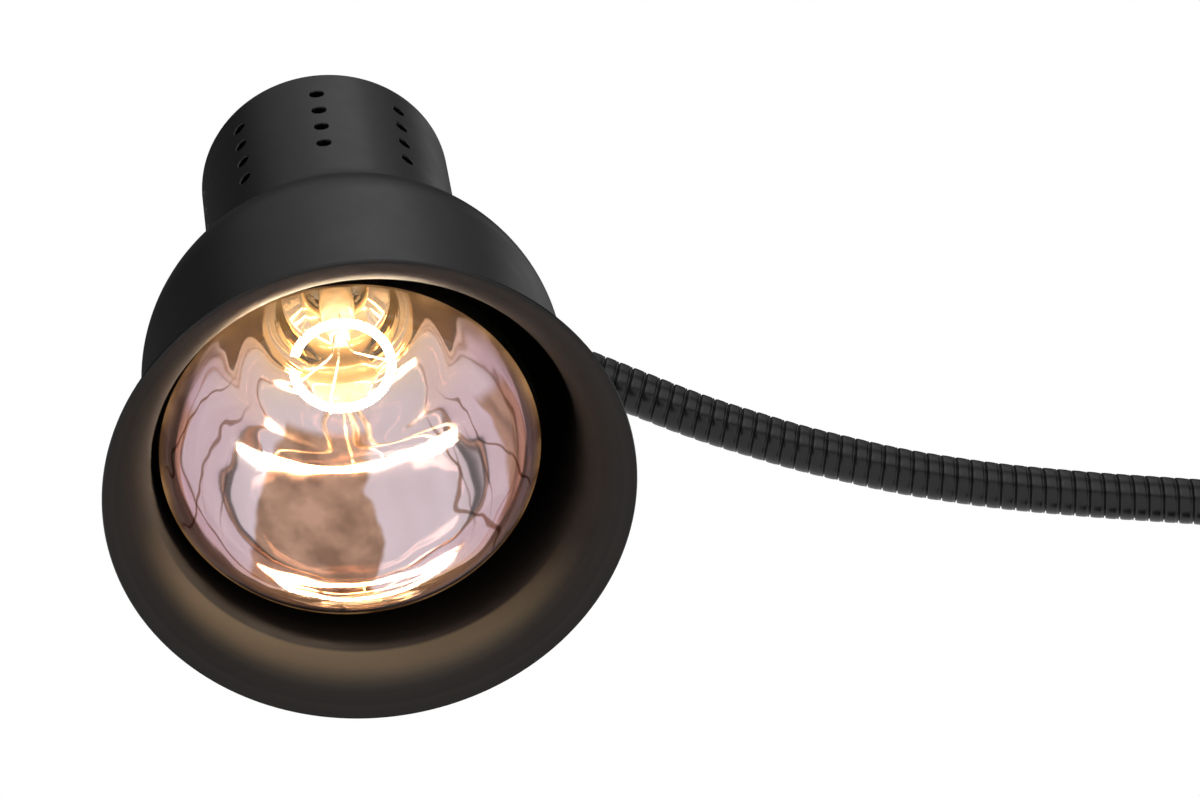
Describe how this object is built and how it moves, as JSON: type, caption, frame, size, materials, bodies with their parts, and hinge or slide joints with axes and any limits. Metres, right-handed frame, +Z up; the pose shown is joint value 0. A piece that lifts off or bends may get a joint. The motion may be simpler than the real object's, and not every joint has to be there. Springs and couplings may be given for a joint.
{
  "type": "heat lamp warmer",
  "caption": "Free-standing heat lamp warmer: bell shade with a reflector bulb on a flexible neck, post and heavy round base with a rocker switch.",
  "frame": {"origin": "centre of the base's underside, on the surface that the lamp stands on", "axes": "+Z up along the post; the head points forward (-Y) and down, to the left (-X) of the post; the cord inlet is at the back (+Y)"},
  "size_m": [0.6197, 0.5142, 0.643],
  "materials": {
    "shade_black": "semi-gloss black powder coat",
    "neck_black": "satin black wound steel",
    "fitting_black": "satin black",
    "base_black": "satin black powder coat",
    "rubber_black": "matte",
    "zinc_steel": "zinc plated",
    "ballast_iron": "as cast",
    "contact_brass": "plain",
    "cap_brass": "rolled thin sheet",
    "porcelain": "glazed",
    "bulb_glass": "clear front, silvered flank",
    "insulator_black": "black vitrite",
    "filament_wire": "tungsten",
    "switch_black": "gloss",
    "terminal_white": "matte",
    "lead_brown": "PVC",
    "lead_blue": "PVC"
  },
  "bodies": {
    "base": {"base_pad": "rubber_black", "base_bottom_plate": "zinc_steel", "base_screws": "zinc_steel", "base_cover": "base_black", "ballast_plate": "ballast_iron", "post_tube": "base_black", "post_top_plug": "zinc_steel", "post_top_nipple": "zinc_steel", "post_ferrule": "fitting_black", "post_foot_plug": "zinc_steel", "post_foot_collar": "base_black", "post_foot_nipple": "zinc_steel", "post_spacer": "zinc_steel", "post_washer": "zinc_steel", "post_locknut": "zinc_steel", "post_live_lead": "lead_brown", "post_neutral_lead": "lead_blue", "switch_body": "switch_black", "switch_terminals": "contact_brass", "switch_feed_lead": "lead_brown", "switch_return_lead": "lead_brown", "cord_gland": "switch_black", "cord_gland_nut": "switch_black", "terminal_strip": "terminal_white", "terminal_barrels": "contact_brass", "terminal_screws": "zinc_steel", "ground_stud": "contact_brass", "ground_ring_terminal": "contact_brass", "ground_nut": "contact_brass", "gooseneck_6": "neck_black"},
    "neck_5": {"gooseneck_5": "neck_black"},
    "neck_4": {"gooseneck_4": "neck_black"},
    "neck_3": {"gooseneck_3": "neck_black"},
    "neck_2": {"gooseneck_2": "neck_black"},
    "neck_1": {"gooseneck_1": "neck_black"},
    "head": {"shade": "shade_black", "head_dress_washer": "fitting_black", "head_ferrule": "fitting_black", "head_nipple": "zinc_steel", "holder_bracket": "zinc_steel", "head_lock_washer": "zinc_steel", "head_locknut": "zinc_steel", "head_wire_bushing": "switch_black", "lamp_holder": "porcelain", "holder_screw_shell": "contact_brass", "holder_contact": "contact_brass", "holder_screws": "zinc_steel", "holder_terminals": "contact_brass", "head_live_lead": "lead_brown", "head_neutral_lead": "lead_blue", "gooseneck_0": "neck_black"},
    "bulb": {"bulb_glass": "bulb_glass", "bulb_cap": "cap_brass", "bulb_cap_insulator": "insulator_black", "bulb_contact_tip": "zinc_steel", "bulb_stem": "bulb_glass", "filament_supports": "filament_wire", "filament": "filament_wire"},
    "rocker": {"switch_rocker": "switch_black"}
  },
  "joints": [
    {"name": "neck_swing_5", "type": "hinge", "parent": "base", "child": "neck_5", "pos_m": [-0.01335, -0.00031, 0.47694], "axis": [0.8408, 0.0196, 0.541], "range_deg": [-20, 20]},
    {"name": "neck_lift_4", "type": "hinge", "parent": "neck_5", "child": "neck_4", "pos_m": [-0.10001, -0.00233, 0.51663], "axis": [0.0233, -0.9997, 0], "range_deg": [-20, 20]},
    {"name": "neck_swing_3", "type": "hinge", "parent": "neck_4", "child": "neck_3", "pos_m": [-0.19943, -0.00529, 0.52636], "axis": [0.1655, 0.0071, 0.9862], "range_deg": [-20, 20]},
    {"name": "neck_lift_2", "type": "hinge", "parent": "neck_3", "child": "neck_2", "pos_m": [-0.29561, -0.01058, 0.55268], "axis": [0.0779, -0.997, 0], "range_deg": [-20, 20]},
    {"name": "neck_swing_1", "type": "hinge", "parent": "neck_2", "child": "neck_1", "pos_m": [-0.38811, -0.01901, 0.58948], "axis": [0.4363, 0.1265, 0.8908], "range_deg": [-20, 20]},
    {"name": "neck_lift_0", "type": "hinge", "parent": "neck_1", "child": "head", "pos_m": [-0.42364, -0.09101, 0.63363], "axis": [0.9996, -0.0292, 0], "range_deg": [-20, 20]},
    {"name": "bulb_draw", "type": "slide", "parent": "head", "child": "bulb", "axis": [0.0913, -0.7014, -0.7069], "range_m": [0, 0.035]},
    {"name": "rocker_tilt", "type": "hinge", "parent": "base", "child": "rocker", "pos_m": [0, -0.095, 0.037], "axis": [0, 1, 0], "range_deg": [0, 20]}
  ]
}
